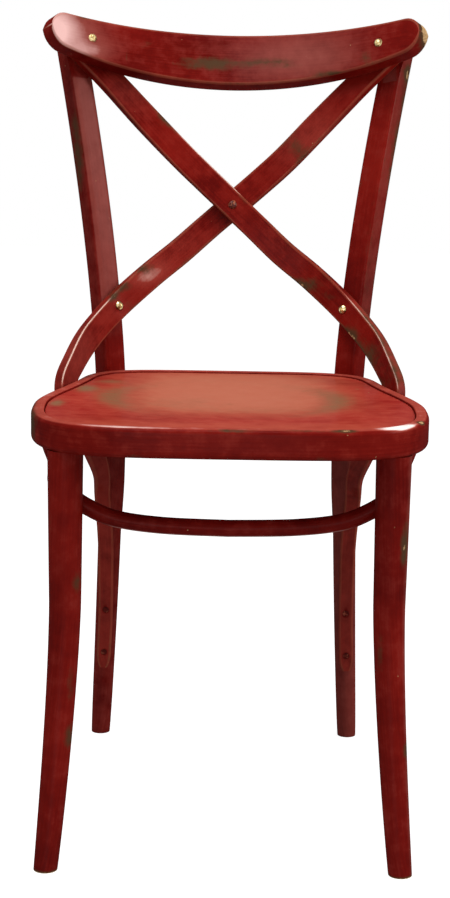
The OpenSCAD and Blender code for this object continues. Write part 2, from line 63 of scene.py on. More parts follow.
def unit(v):
    v = np.asarray(v, float)
    return v / np.linalg.norm(v, axis=-1, keepdims=True)


def throughPoints(points, steps):  # a smooth curve through rows of values
    p = np.asarray(points, float)
    last = len(p) - 1
    rows = []
    for i in range(last):
        a, b, c, d = p[max(0, i - 1)], p[i], p[i + 1], p[min(last, i + 2)]
        for k in range(steps):
            u = k / steps
            rows.append(0.5 * (2 * b + (c - a) * u + (2 * a - 5 * b + 4 * c - d) * u * u
                               + (3 * b - 3 * c + d - a) * u ** 3))
    return np.array(rows + [p[last]])


# mesh work
def toFrame(points):  # mm as the chair was drawn, to metres in the frame
    return (np.asarray(points, float) - (0, frameMiddle, 0)) * mm


def cornerWear(rings, reach=3.0, blunt=0.07, sharpen=0.13):
    # 1 on a sharp corner of the section, fading to 0 over a few mm; bends are in radians per mm
    after = np.roll(rings, -1, 1) - rings
    before = np.roll(after, 1, 1)
    lengthA = np.linalg.norm(after, axis=2) + 1e-6
    lengthB = np.linalg.norm(before, axis=2) + 1e-6
    turn = np.arccos(np.clip((before * after).sum(2) / (lengthA * lengthB), -1, 1))
    sharp = smooth((2 * turn / (lengthA + lengthB) - blunt) / sharpen)
    place = np.cumsum(lengthA, axis=1) - lengthA
    total = place[:, -1:] + lengthA[:, -1:]
    found = np.zeros_like(sharp)
    for corner, at in zip(sharp.T, place.T):
        away = np.abs(place - at[:, None])
        away = np.minimum(away, total - away)
        found = np.maximum(found, corner[:, None] * np.exp(-away / reach))
    return found


def spread(points, spots):  # sum of soft spots: x, y, z, reach on each axis, strength
    total = np.zeros(points.shape[:-1])
    for x, y, z, rx, ry, rz, strength in spots:
        away = (points - (x, y, z)) / (rx, ry, rz)
        total += strength * np.exp(-(away ** 2).sum(-1))
    return total


def makePiece(name, rings, material, closed=False, edge=None, rub=None, fadeAndPaintedLight=None, flatMap=None):
    # a skin over rings of points with flat ends, with stroke coordinates, wear, and fade with painted
    # light kept on it
    n, m = rings.shape[:2]
    middle = rings.mean(1)
    step = np.linalg.norm(np.roll(middle, -1, 0) - middle, axis=1)
    along = np.concatenate([[0], np.cumsum(step)]) * mm
    side = np.linalg.norm(np.roll(rings, -1, 1) - rings, axis=2)
    around = np.concatenate([np.zeros((n, 1)), np.cumsum(side, axis=1)], axis=1) * mm
    if flatMap is None:
        around = np.concatenate([around, around[:1]])
        chart = np.stack([np.broadcast_to(along[:, None], around.shape), around], -1)
    else:
        chart = np.pad(flatMap, ((0, 1), (0, 1), (0, 0)), mode="wrap")
    i, j = np.arange(n if closed else n - 1)[:, None], np.arange(m)[None]
    corners = ((i, j), (i, j + 1), (i + 1, j + 1), (i + 1, j))
    faces = np.stack([a % n * m + b % m for a, b in corners], -1).reshape(-1, 4).tolist()
    stroke = np.stack([chart[a, b] for a, b in corners], 2).reshape(-1, 2)
    if not closed:
        faces += [list(range(m)), list(range(n * m - m, n * m))]
        stroke = np.concatenate([stroke, chart[0, :m], chart[n - 1, :m]])
    mesh = bpy.data.meshes.new(name)
    mesh.from_pydata(toFrame(rings.reshape(-1, 3)).tolist(), [], faces)
    layer = mesh.uv_layers.new(name="strokes")
    layer.data.foreach_set("uv", stroke.astype(np.float32).ravel())
    values = {"edge": cornerWear(rings) if edge is None else edge, "rub": rub, "fadeAndPaintedLight": fadeAndPaintedLight}
    for key, value in values.items():
        value = np.zeros((n, m)) if value is None else value
        mesh.attributes.new(key, "FLOAT", "POINT").data.foreach_set(
            "value", np.asarray(value, dtype=np.float32).ravel())
    made = bmesh.new()
    made.from_mesh(mesh)
    bmesh.ops.recalc_face_normals(made, faces=made.faces)
    made.to_mesh(mesh)
    made.free()
    piece = bpy.data.objects.new(name, mesh)
    scene.collection.objects.link(piece)
    mesh.materials.append(material)
    return piece


def rod(start, direction, diameter, length, lead=0.0, endDiameter=None, sides=48):
    # a plain cutter for holes, from a point in the drawing along a direction
    drill = bmesh.new()
    far = diameter if endDiameter is None else endDiameter
    bmesh.ops.create_cone(drill, cap_ends=True, segments=sides, radius1=diameter / 2 * mm,
                          radius2=far / 2 * mm, depth=(length + lead) * mm)
    direction = unit(direction)
    middle = np.asarray(start, float) + direction * (length - lead) / 2
    aim = Vector(direction.tolist()).to_track_quat("Z", "Y").to_matrix().to_4x4()
    bmesh.ops.transform(drill, matrix=Matrix.Translation(toFrame(middle).tolist()) @ aim,
                        verts=drill.verts)
    mesh = bpy.data.meshes.new("cutter")
    drill.to_mesh(mesh)
    drill.free()
    return bpy.data.objects.new("cutter", mesh)


def cutAway(piece, cutters):  # real holes and flat seats, cut out of the finished mesh
    for cutter in cutters:
        scene.collection.objects.link(cutter)
        cut = piece.modifiers.new("cut", "BOOLEAN")
        cut.operation, cut.solver, cut.object = "DIFFERENCE", "EXACT", cutter
    seen = bpy.context.evaluated_depsgraph_get()
    mesh = bpy.data.meshes.new_from_object(piece.evaluated_get(seen))
    mesh.name = piece.name
    piece.modifiers.clear()
    piece.data = mesh
    for cutter in cutters:
        bpy.data.objects.remove(cutter)


def settle(piece, node, sharp=32):  # soft shading with crisp corners, riding on the frame
    piece.data.shade_smooth()
    piece.data.set_sharp_from_angle(angle=math.radians(sharp))
    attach(piece, "root")
    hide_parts(node)


# materials
def colour(code):  # sRGB hex to linear
    parts = [int(code[i:i + 2], 16) / 255 for i in (1, 3, 5)]
    return [p / 12.92 if p <= 0.04045 else ((p + 0.055) / 1.055) ** 2.4 for p in parts] + [1.0]


def add(tree, kind, links=None, out=0, stops=None, **settings):
    # adds a node with its settings, values and links, and gives back one of its outputs
    node = tree.nodes.new("ShaderNode" + kind)
    for key, value in settings.items():
        setattr(node, key, value)
    for key, value in (links or {}).items():
        if isinstance(value, bpy.types.NodeSocket):
            tree.links.new(value, node.inputs[key])
        else:
            node.inputs[key].default_value = value
    if stops:
        ramp = node.color_ramp.elements
        while len(ramp) < len(stops):
            ramp.new(0.5)
        for stop, (position, code) in zip(ramp, stops):
            stop.position, stop.color = position, colour(code)
    return node.outputs[out] if node.outputs else None


def newMaterial(name):
    material = bpy.data.materials.new(name)
    material.use_nodes = True
    material.node_tree.nodes.clear()
    return material, material.node_tree


# Oil paint brushed on beech under a thin wax film: a deep satin red with faint brush lines, lighter
# along the corners where it is thin (partly a painted edge highlight), and rubbed through to olive
# undercoat and tan wood in places; faded places and painted sheen and highlights turn dusty and pale.
paintedBeech = {
    "deep": "#5a0b08", "middle": "#6c100b", "light": "#7c1710", "undercoat": "#4b3422",
    "darkGrain": "#8a6840", "wood": "#b8946a", "lightGrain": "#d0ac7c",
    # the dusty pink is faded paint and painted sheen; the pale colour is a painted highlight
    "dustAndSheen": "#8c4a42", "dustAndSheenRange": (0.36, 1.30), "paintedHighlight": "#dcb0aa", "paintedHighlightRange": (1.0, 2.1),
    # the thin corner line is worn-thin paint and partly a painted edge highlight
    "thinEdgeAndHighlight": "#a05a44", "thinLineAndHighlight": 0.68, "thinRange": (0.78, 0.98),
    "cloudSize": 110, "mottleSize": 16, "patchSize": 55, "flakeSize": 9, "chipSize": 5,
    "brushLength": 70, "brushWidth": 2.4,
    "cornerWear": 0.34, "ragged": 0.6, "undercoatFrom": 0.34, "softness": 0.48,
    "woodFrom": 0.84, "woodSoftness": 0.12, "chipsFrom": 0.95, "chipSoftness": 0.04,
    "roughness": 0.45, "bareRoughness": 0.7, "wax": 0.016, "waxRoughness": 0.24,
    "relief": 0.16 * mm,
}
# The same paint on the thinner bent strips, rubbed more at their edges, with a redder painted sheen
# and a cream painted highlight.
paintedStrip = dict(paintedBeech, cornerWear=0.40, thinLineAndHighlight=0.765, middle="#74140e",
                    thinEdgeAndHighlight="#964c38", dustAndSheen="#9a3e34", paintedHighlight="#e4cabc")
# The seat ring's paint: its flat top is sunned to salmon with a painted sheen, and its front edge has
# a painted white highlight.
paintedRing = dict(paintedBeech, dustAndSheen="#ae4c3e", paintedHighlight="#f4e6e0")
# The seat's paint, sat on for years: faded to salmon, partly a painted sheen, with soft olive haze
# where it is worn thin.
paintedSeat = dict(
    paintedBeech, deep="#861a18", middle="#942420", light="#a2322a",
    undercoat="#80583e", wood="#9a7c58", dustAndSheen="#ac543e", paintedHighlight="#b87058", cornerWear=0.3,
    brushWidth=5, brushLength=50, mottleSize=22, wax=0.03,
    undercoatFrom=0.10, softness=0.9, woodFrom=1.2, chipsFrom=0.97, relief=0.1 * mm,
)


def brushedPaint(name, look):
    material, tree = newMaterial(name)
    flat = add(tree, "UVMap", uv_map="strokes")
    solid = add(tree, "TexCoord", out=3)
    edge, rub, fadeAndPaintedLight = [add(tree, "Attribute", out=2, attribute_name=kind)
                       for kind in ("edge", "rub", "fadeAndPaintedLight")]
    cloud, mottle, patch, flake, speck = [
        add(tree, "TexNoise", {"Vector": solid, "Scale": 1000 / look[kind + "Size"],
                               "Detail": detail, "Roughness": coarse, "Distortion": twist})
        for kind, detail, coarse, twist in (
            ("cloud", 3.0, 0.5, 0.0), ("mottle", 5.0, 0.6, 0.0), ("patch", 2.0, 0.5, 0.6),
            ("flake", 7.0, 0.65, 0.0), ("chip", 1.0, 0.5, 0.0))]
    # brush lines run along each piece; real hairs leave finer ones than the render can show
    drawn = add(tree, "Mapping", {"Vector": flat, "Scale": (
        1000 / look["brushLength"], 1000 / look["brushWidth"], 1.0)})
    brush = add(tree, "TexNoise", {"Vector": drawn, "Scale": 1.0, "Detail": 4.0,
                                   "Roughness": 0.6})
    # broad tone of the paint
    tone = 0.0
    for pattern, share in ((cloud, 0.5), (mottle, 0.3), (brush, 0.2)):
        tone = add(tree, "Math", {0: pattern, 1: share, 2: tone}, operation="MULTIPLY_ADD")
    skin = add(tree, "ValToRGB", {"Fac": tone}, stops=[
        (0.40, look["deep"]), (0.50, look["middle"]), (0.62, look["light"])])
    # faded places and painted sheen turn dusty first, and painted highlights turn pale after that
    dustAndSheenLevel = fadeAndPaintedLight
    for pattern, share in ((mottle, 0.5), (brush, 0.2)):
        dustAndSheenLevel = add(tree, "Math", {0: pattern, 1: share, 2: dustAndSheenLevel}, operation="MULTIPLY_ADD")
    # paint pulls thin on a corner and shows as a narrow lighter line, partly a painted edge highlight
    dustAndSheenShare, highlightShare, line = [
        add(tree, "MapRange", {"Value": value, "From Min": look[reach][0],
                               "From Max": look[reach][1]})
        for value, reach in ((dustAndSheenLevel, "dustAndSheenRange"), (dustAndSheenLevel, "paintedHighlightRange"), (edge, "thinRange"))]
    line = add(tree, "Math", {0: line, 1: look["thinLineAndHighlight"]}, operation="MULTIPLY")
    line = add(tree, "Math", {0: line, 1: patch}, operation="MULTIPLY")
    # wear: corners in patches, rubbed places and a ragged break-up
    corner = add(tree, "Math", {0: patch, 1: 1.5, 2: -0.2}, operation="MULTIPLY_ADD")
    corner = add(tree, "Math", {0: corner, 1: edge}, operation="MULTIPLY")
    corner = add(tree, "Math", {0: corner, 1: look["cornerWear"], 2: rub},
                 operation="MULTIPLY_ADD")
    ragged = -0.5
    for pattern, share in ((flake, 1.0), (brush, 0.4)):
        ragged = add(tree, "Math", {0: pattern, 1: share, 2: ragged}, operation="MULTIPLY_ADD")
    wear = add(tree, "Math", {0: ragged, 1: look["ragged"], 2: corner},
               operation="MULTIPLY_ADD")
    under, bare = [
        add(tree, "MapRange", {"Value": wear, "From Min": look[start],
                               "From Max": look[start] + look[run]},
            interpolation_type="SMOOTHSTEP")
        for start, run in (("undercoatFrom", "softness"), ("woodFrom", "woodSoftness"))]
    # a few small chips, down to light wood
    speck = add(tree, "Math", {0: patch, 1: 0.25, 2: speck}, operation="MULTIPLY_ADD")
    chip = add(tree, "MapRange", {"Value": speck, "From Min": look["chipsFrom"],
                                  "From Max": look["chipsFrom"] + look["chipSoftness"]})
    bare = add(tree, "Math", {0: bare, 1: chip}, operation="MAXIMUM")
    grain = add(tree, "ValToRGB", {"Fac": brush}, stops=[
        (0.35, look["darkGrain"]), (0.5, look["wood"]), (0.65, look["lightGrain"])])
    for share, layer in ((dustAndSheenShare, colour(look["dustAndSheen"])), (highlightShare, colour(look["paintedHighlight"])),
                         (line, colour(look["thinEdgeAndHighlight"])), (under, colour(look["undercoat"])),
                         (bare, grain)):
        skin = add(tree, "Mix", {0: share, 6: skin, 7: layer}, out=2, data_type="RGBA")
    # satin paint, duller where it is rubbed through
    dull = add(tree, "Math", {0: under, 1: bare}, operation="MAXIMUM")
    satin = add(tree, "MapRange", {"Value": mottle, "From Min": 0.3, "From Max": 0.7,
                                   "To Min": look["roughness"] - 0.05,
                                   "To Max": look["roughness"] + 0.08})
    rough = add(tree, "Mix", {0: dull, 2: satin, 3: look["bareRoughness"]})
    # brush lines stand up a little, and worn places lie below the paint
    height = add(tree, "Math", {0: mottle, 1: 0.35, 2: brush}, operation="MULTIPLY_ADD")
    height = add(tree, "Math", {0: dull, 1: -0.8, 2: height}, operation="MULTIPLY_ADD")
    bump = add(tree, "Bump", {"Height": height, "Strength": 0.7, "Distance": look["relief"]})
    # the shine comes from the wax alone, so that the deep red stays deep under a white sky
    shader = add(tree, "BsdfPrincipled", {
        "Base Color": skin, "Roughness": rough, "Normal": bump, "IOR": 1.5,
        "Specular IOR Level": 0.0, "Coat Weight": look["wax"], "Coat IOR": 2.2,
        "Coat Roughness": look["waxRoughness"], "Coat Normal": bump})
    add(tree, "OutputMaterial", {"Surface": shader})
    return material


# Turned brass, yellow and bright, blotched brown with age.
slottedBrass = {
    "stops": [(0.38, "#6e5230"), (0.60, "#e2cf98")], "size": 4, "detail": 4.0, "dents": 0.4,
    "dull": {"From Min": 0.3, "From Max": 0.7, "To Min": 0.41, "To Max": 0.21},
    "surface": {"Metallic": 1.0},
}
# Plain steel left to darken: brown-black with a little rust, dull.
agedSteel = dict(slottedBrass, stops=[(0.38, "#1c0e0a"), (0.60, "#4a2c22")], size=5, dull={
    "From Min": 0.3, "From Max": 0.7, "To Min": 0.73, "To Max": 0.53})
# A steel screw head painted over with the wood, the paint worn thin in blotches.
paintedScrew = {
    "stops": [(0.52, "#4e120e"), (0.62, "#7c3c2c")], "size": 4, "detail": 5.0, "dents": 0.5,
    "dull": {"To Min": 0.36, "To Max": 0.56}, "surface": {"IOR": 1.5, "Specular IOR Level": 0.04},
}
# The crossing's screw is handled more: its paint is thin and polished, with small glints.
handledScrew = dict(
    paintedScrew, stops=[(0.52, "#50160e"), (0.62, "#94543a")], size=3,
    dull={"To Min": 0.18, "To Max": 0.38}, surface={"IOR": 1.5, "Specular IOR Level": 0.2})


def screwHead(name, look):
    material, tree = newMaterial(name)
    solid = add(tree, "TexCoord", out=3)
    stain = add(tree, "TexNoise", {"Vector": solid, "Scale": 1000 / look["size"],
                                   "Detail": look["detail"]})
    tone = add(tree, "ValToRGB", {"Fac": stain}, stops=look["stops"])
    rough = add(tree, "MapRange", {"Value": stain, **look["dull"]})
    bump = add(tree, "Bump", {"Height": stain, "Strength": look["dents"],
                              "Distance": 0.2 * mm})
    shader = add(tree, "BsdfPrincipled", {"Base Color": tone, "Roughness": rough,
                                          "Normal": bump, **look["surface"]})
    add(tree, "OutputMaterial", {"Surface": shader})
    return material


beechPaint = brushedPaint("brushedPaintOnBeech", paintedBeech)
stripPaint = brushedPaint("brushedPaintOnStrips", paintedStrip)
ringPaint = brushedPaint("sunnedAndSheenRingPaint", paintedRing)
seatPaint = brushedPaint("fadedAndSheenSeatPaint", paintedSeat)
brassMetal = screwHead("turnedBrass", slottedBrass)
steelMetal = screwHead("darkenedSteel", agedSteel)
screwPaint = screwHead("paintedSteelScrew", paintedScrew)
handledPaint = screwHead("handledSteelScrew", handledScrew)
print("materials ready")


# seat
seat = {
    "height": 470, "width": 424, "depth": 427, "frontSquareness": 4.2, "rearSquareness": 4.9,
    "narrowing": 0.155, "narrowingStart": 0.38, "narrowingRun": 0.45,
    "ringHeight": 31, "ringWidth": 38, "topRound": 5, "bottomRound": 5, "innerRound": 3,
    "rim": 14, "rimRound": 1.2, "rimFlat": 3.5, "step": 9,
    "panelThickness": 7, "panelRound": 1.6, "panelDish": 6, "panelGap": 0.6,
    "dishRange": (0.15, 0.90), "ovalUntil": 0.7, "stepsAround": 520,
    # how much the ring's corners wear, and how far its flat top is faded and given a painted sheen
    "edgeWear": 0.7, "topFadeAndSheen": 0.62,
}
gap = 0.1  # between pieces that lie against each other
holeGap = 0.1  # round a screw, bolt or tenon
seatBottom = seat["height"] - seat["ringHeight"]


def seatPoint(f):
    f = np.asarray(f, float)
    n = np.where(sind(f) > 0, seat["rearSquareness"], seat["frontSquareness"])
    a, b = seat["width"] / 2, seat["depth"] / 2
    r = (np.abs(cosd(f) / a) ** n + np.abs(sind(f) / b) ** n) ** (-1 / n)
    y = b + r * sind(f)
    narrow = seat["narrowing"] * smooth(
        (y / seat["depth"] - seat["narrowingStart"]) / seat["narrowingRun"])
    return np.stack([r * cosd(f) * (1 - narrow), y], -1)


def seatInset(f, inset):
    f = np.asarray(f, float)
    d = seatPoint(f + 0.4) - seatPoint(f - 0.4)
    normal = unit(np.stack([d[..., 1], -d[..., 0]], -1))
    return seatPoint(f) - np.asarray(inset)[..., None] * normal


def evenBearings(count):  # bearings that step evenly along the seat's outline
    fine = np.linspace(0, 360, 7201)
    outline = seatPoint(fine)
    length = np.concatenate([[0], np.cumsum(np.linalg.norm(np.diff(outline, axis=0), axis=1))])
    return np.interp(np.linspace(0, length[-1], count, endpoint=False), length, fine)


def ringSection():  # inset from the outline and height above the ring's underside
    h, low, high = seat["ringHeight"], seat["bottomRound"], seat["topRound"]
    rim, step, width = seat["rim"], h - seat["step"], seat["ringWidth"]
    small, inner = seat["rimRound"], seat["innerRound"]
    turn = np.linspace(0, 90, 8)
    points = [(low * (1 - sind(a)), low * (1 - cosd(a))) for a in turn]
    points += [(0, y) for y in np.linspace(low, h - high, 7)[1:-1]]
    points += [(high * (1 - cosd(a)), h - high + high * sind(a)) for a in turn]
    points += [(rim - seat["rimFlat"], h)]
    points += [(rim - small + small * sind(a), h - small + small * cosd(a))
               for a in (0, 30, 60, 90)]
    points += [(rim, step), ((rim + width) / 2, step), (width, step), (width, (step + inner) / 2),
               (width, inner), (width - inner, 0), (width / 2, 0)]
    return np.array(points)


section = ringSection()
bearings = evenBearings(seat["stepsAround"])
ringRings = np.stack([np.concatenate([
    seatInset(bearings, np.full(bearings.shape, x)),
    np.full((len(bearings), 1), seatBottom + y)], axis=1) for x, y in section], axis=1)
# worn places, painted highlights and faded places lie where the photograph shows them; the hidden
# ones are guessed
ringRubs = [
    (-165, 66, 470, 14, 10, 5, 0.36), (2, 3, 469, 26, 8, 2, 0.40),
    (117, 8, 470, 14, 6, 2.4, 0.62), (70, 4, 470, 34, 5, 1.2, 0.42),
    (197, 66, 470, 7, 9, 3, 0.85), (-208, 80, 457, 12, 44, 18, 0.64),
    (-96, 3, 441, 8, 8, 4, 0.30), (90, 3, 441, 7, 8, 4, 0.30), (174, 10, 441, 14, 12, 5, 0.30),
    (-209, 150, 468, 8, 40, 6, 0.24), (150, 400, 470, 60, 14, 5, 0.2),
    (-139, 424, 470, 20, 8, 5, 0.2),
]
# the flat top is sunned and given a painted sheen, and its front edge has a painted highlight at the
# right corner and, thinner, at the left
ringPaintedHighlight = [
    (160, 22, 470, 9, 10, 1.4, 1.1), (174, 32, 469.6, 11, 12, 2.0, 2.3),
    (185, 44, 470, 6, 8, 1.8, 1.2), (-134, 12, 470, 18, 6, 0.8, 0.4),
    (-110, 8, 470, 18, 4, 0.8, 0.6), (-80, 4, 470, 26, 4, 0.7, 0.3),
]
ringTop = smooth((ringRings[..., 2] - seat["height"] + 0.8) / 0.6)
ringPiece = makePiece("seatRing", ringRings, ringPaint, closed=True,
                      edge=seat["edgeWear"] * cornerWear(ringRings),
                      rub=spread(ringRings, ringRubs),
                      fadeAndPaintedLight=seat["topFadeAndSheen"] * ringTop + spread(ringRings, ringPaintedHighlight))


def dish(s):  # depth of the hollow at a share of the way from the middle to the edge
    low, high = seat["dishRange"]
    return seat["panelDish"] * (1 - smooth((s - low) / (high - low)))


panelBottom = seat["height"] - seat["step"] + gap
panelTop = panelBottom + seat["panelThickness"]
panelInset = seat["rim"] + seat["panelGap"]
centre = np.array([0, seat["depth"] / 2])
squareReach = seatInset(bearings[::2], np.full(len(bearings[::2]), panelInset)) - centre
oval = (seat["width"] / 2 - 22, seat["depth"] / 2 - 18.5)
roundReach = unit(squareReach)
roundReach = roundReach / np.linalg.norm(roundReach / oval, axis=1)[:, None]


def panelRing(s, z):  # oval in the middle, the seat's outline further out
    flatRing = centre + lerp(roundReach, squareReach, smooth(s / seat["ovalUntil"])) * s
    return np.concatenate([flatRing, np.full((len(flatRing), 1), z)], axis=1)


outward = np.concatenate([[0.012], np.linspace(0.04, 0.97, 52)])
roundStart = panelTop - seat["panelRound"]
panelRings = np.array(
    [panelRing(s, panelBottom - dish(s)) for s in outward[::3]]
    + [panelRing(0.993, panelBottom), panelRing(1, panelBottom + 1), panelRing(1, roundStart)]
    + [panelRing(1 - 0.008 * (1 - cosd(a)), roundStart + seat["panelRound"] * sind(a))
       for a in (22, 45, 68, 90)]
    + [panelRing(s, panelTop - dish(s)) for s in outward[::-1]])
# an olive haze where people's weight has rubbed an oval, strongest at its sides
sitting = {"middle": (-6, 225), "halfWidth": 126, "halfDepth": 128, "band": 0.15,
           "haze": 0.08, "sideHaze": 0.56}
across = (panelRings[..., 0] - sitting["middle"][0]) / sitting["halfWidth"]
forward = (panelRings[..., 1] - sitting["middle"][1]) / sitting["halfDepth"]
fromMiddle = np.sqrt(across ** 2 + forward ** 2) + 1e-6
sitRing = np.exp(-((fromMiddle - 1) / sitting["band"]) ** 2) * (
    sitting["haze"] + sitting["sideHaze"] * (across / fromMiddle) ** 4)
panelRubs = [
    (-163, 275, 466, 14, 26, 20, 0.86), (-187, 166, 466, 8, 22, 20, 0.80),
    (-138, 330, 466, 18, 16, 20, 0.55), (-66, 205, 466, 46, 44, 20, 0.24),
    (30, 170, 466, 70, 30, 20, 0.22), (-36, 236, 466, 12, 22, 20, 0.16),
    (146, 302, 466, 3, 4, 20, 0.5),
]
# sunned pale with a painted sheen over the middle and the back, and a painted sheen in a band along
# the front
sunAndSheen = {"middle": (4, 280), "halfWidth": 122, "halfDepth": 150, "fadeAndPaintedLight": 1.05, "allOver": 0.15,
       "frontAt": 30, "frontBand": 34, "frontPaintedSheen": 0.3}
sunnedAndSheen = sunAndSheen["allOver"] + sunAndSheen["fadeAndPaintedLight"] * np.exp(
    -((panelRings[..., 0] - sunAndSheen["middle"][0]) / sunAndSheen["halfWidth"]) ** 4
    - ((panelRings[..., 1] - sunAndSheen["middle"][1]) / sunAndSheen["halfDepth"]) ** 4)
sunnedAndSheen += sunAndSheen["frontPaintedSheen"] * np.exp(
    -((panelRings[..., 1] - sunAndSheen["frontAt"]) / sunAndSheen["frontBand"]) ** 2)
onTop = panelRings[..., 2] > panelBottom + 0.5
panelPiece = makePiece(
    "seatPanel", panelRings, seatPaint, flatMap=panelRings[..., :2] * mm,
    rub=np.where(onTop, sitRing + spread(panelRings, panelRubs), 0),
    fadeAndPaintedLight=np.where(onTop, sunnedAndSheen, 0))
print("seat ring and panel made")


# front legs
frontLeg = {
    "topDiameter": 37, "footDiameter": 25, "bearing": 44.4, "bendHeight": 280, "bend": 1.45,
    "taper": 0.75, "splaySide": 17, "splayFront": 38, "footChamfer": 1.5,
    "tenonDiameter": 22, "tenonLength": 19, "tenonChamfer": 1, "sides": 48, "rows": 88,
    "edgeWear": 0.10, "paintedSunlight": 0.42, "footRub": 1.1,
}
legTop = seatInset(-frontLeg["bearing"], seat["ringWidth"] / 2)


def legCentre(z):
    bend = (max(0, frontLeg["bendHeight"] - z) / frontLeg["bendHeight"]) ** frontLeg["bend"]
    return np.array([legTop[0] + frontLeg["splaySide"] * bend,
                     legTop[1] - frontLeg["splayFront"] * bend, z])


def legRadius(z):
    foot, top = frontLeg["footDiameter"], frontLeg["topDiameter"]
    return (foot + (top - foot) * (z / seatBottom) ** frontLeg["taper"]) / 2


def circle(count):
    a = np.arange(count) * 360 / count
    return np.stack([cosd(a), sind(a), 0 * a], -1)


def legRings():
    section, chamfer = circle(frontLeg["sides"]), frontLeg["footChamfer"]
    heights = np.concatenate([[0.5, chamfer], np.linspace(5, seatBottom, frontLeg["rows"])])
    rings = [legCentre(0) + (legRadius(0) - chamfer) * section]
    rings += [legCentre(z) + legRadius(z) * section for z in heights]
    tenon, length, chamfer = [frontLeg["tenon" + key] for key in ("Diameter", "Length", "Chamfer")]
    for r, z in ((tenon / 2, 0), (tenon / 2, length - chamfer), (tenon / 2 - chamfer, length)):
        rings.append(legCentre(seatBottom) + (0, 0, z) + r * section)
    return np.array(rings)


legGrazes = {
    "Left": [(-155, 30, 302, 6, 40, 13, 0.56), (-162, 30, 139, 6, 40, 14, 0.66),
             (-161, 30, 195, 5, 40, 30, 0.40), (-186, 40, 360, 8, 40, 60, 0.26)],
    "Right": [(180, 40, 344, 5, 40, 24, 0.70), (190, 30, 130, 6, 40, 13, 0.66),
              (159, 30, 235, 5, 40, 34, 0.40), (184, 50, 400, 5, 40, 60, 0.28)],
}
legPieces = {}
for sideName, sign in (("Left", -1), ("Right", 1)):
    rings = legRings() * (sign, 1, 1)
    none = np.zeros(rings.shape[:2])
    # painted sunlight lightens the right leg's outer side, and both feet are rubbed to the wood at
    # the floor
    outer = (sign > 0) * smooth((circle(frontLeg["sides"])[:, 0] - 0.7) / 0.3)
    atFloor = smooth((3 - rings[..., 2]) / 3)
    legPieces[sideName] = makePiece(
        "frontLeg" + sideName, rings, beechPaint, edge=none + frontLeg["edgeWear"],
        fadeAndPaintedLight=none + frontLeg["paintedSunlight"] * outer,
        rub=spread(rings, legGrazes[sideName]) + frontLeg["footRub"] * atFloor)
print("front legs made")


# rear posts
rearPost = {
    "width": 29.5, "depth": 29.5, "turn": 32, "bearing": 50.7, "housing": 5,
    "flare": 52.5, "flareBend": 1.55, "lean": 45.048, "splaySide": 13, "rake": 37, "rakeBend": 1.3,
    "footDiameter": 22.5, "footChamfer": 1.5, "topHeight": 871, "topRound": 6, "taper": 0.5,
    "kink": 430, "rise": 420, "flareStart": 330, "squareFrom": 260, "squareRun": 140,
    "rows": 172, "facets": 72, "edgeWear": 0.6,
}
postOut = np.array([sind(rearPost["turn"]), cosd(rearPost["turn"]), 0])
postSide = np.array([cosd(rearPost["turn"]), -sind(rearPost["turn"]), 0])
postSeat = np.append(seatPoint(rearPost["bearing"]), 0) + postOut * (
    rearPost["depth"] / 2 - rearPost["housing"])


def postCentre(z):
    up = max(0, z - rearPost["kink"]) / rearPost["rise"]
    out = max(0, rearPost["flareStart"] - z) / rearPost["flareStart"]
    down = max(0, rearPost["kink"] - z) / rearPost["kink"]
    bend = rearPost["rakeBend"]
    return np.array([
        postSeat[0] + rearPost["flare"] * up ** rearPost["flareBend"]
        + rearPost["splaySide"] * out ** bend,
        postSeat[1] + rearPost["lean"] * up * up + rearPost["rake"] * down ** bend, z])


def postThick(z, full):
    share = min(1, z / rearPost["kink"]) ** rearPost["taper"]
    return lerp(rearPost["footDiameter"], full, share)


def postSquareness(z):  # 2 is round, 6 is square with soft corners
    return 2 + 4 * smooth((z - rearPost["squareFrom"]) / rearPost["squareRun"])


def postReach(z):  # from the post's middle to its front
    q = postSquareness(z) / (postSquareness(z) - 1)
    turned = (cosd(rearPost["turn"]) ** q + sind(rearPost["turn"]) ** q) ** (1 / q)
    return postThick(z, max(rearPost["width"], rearPost["depth"])) / 2 * turned


postTurns = np.arange(rearPost["facets"]) * 360 / rearPost["facets"]  # round a post's section


def onFacet(turn):  # 1 on the facet of the section that faces this turn
    away = np.abs((postTurns - turn + 180) % 360 - 180)
    return smooth((46 - away) / 5)


def postRings(grow=0.0):
    top, end, chamfer = rearPost["topHeight"], rearPost["topRound"], rearPost["footChamfer"]
    rings = []
    heights = np.concatenate([[0, 0.5, chamfer], np.linspace(6, top - end, rearPost["rows"]),
                              top - end + end * sind(np.array([25, 50, 70, 90]))])
    a = postTurns
    for z in heights:
        trim = chamfer if z == 0 else 0
        if z > top - end + 0.1:
            trim = end - math.sqrt(max(0, end * end - (z - top + end) ** 2))
        n = postSquareness(z)
        r = (np.abs(cosd(a)) ** n + np.abs(sind(a)) ** n) ** (-1 / n)
        w = postThick(z, rearPost["width"]) / 2 - trim + grow
        d = postThick(z, rearPost["depth"]) / 2 - trim + grow
        rings.append(postCentre(z) + np.outer(w * r * cosd(a), postSide)
                     + np.outer(d * r * sind(a), postOut))
    return np.array(rings)


postGrazes = {
    "Left": [(-190, 450, 762, 6, 60, 20, 0.50), (-185, 450, 728, 7, 60, 26, 0.60),
             (-182, 440, 694, 6, 60, 24, 0.40),
             (-150, 430, 560, 12, 20, 60, 0.20), (-160, 440, 250, 14, 20, 90, 0.22)],
    "Right": [(206, 460, 826, 5, 60, 12, 0.58), (204, 460, 786, 5, 60, 20, 0.52),
              (196, 450, 748, 6, 60, 18, 0.44), (190, 450, 700, 5, 60, 30, 0.40),
              (165, 440, 560, 12, 20, 60, 0.20), (160, 440, 230, 14, 20, 90, 0.22)],
}
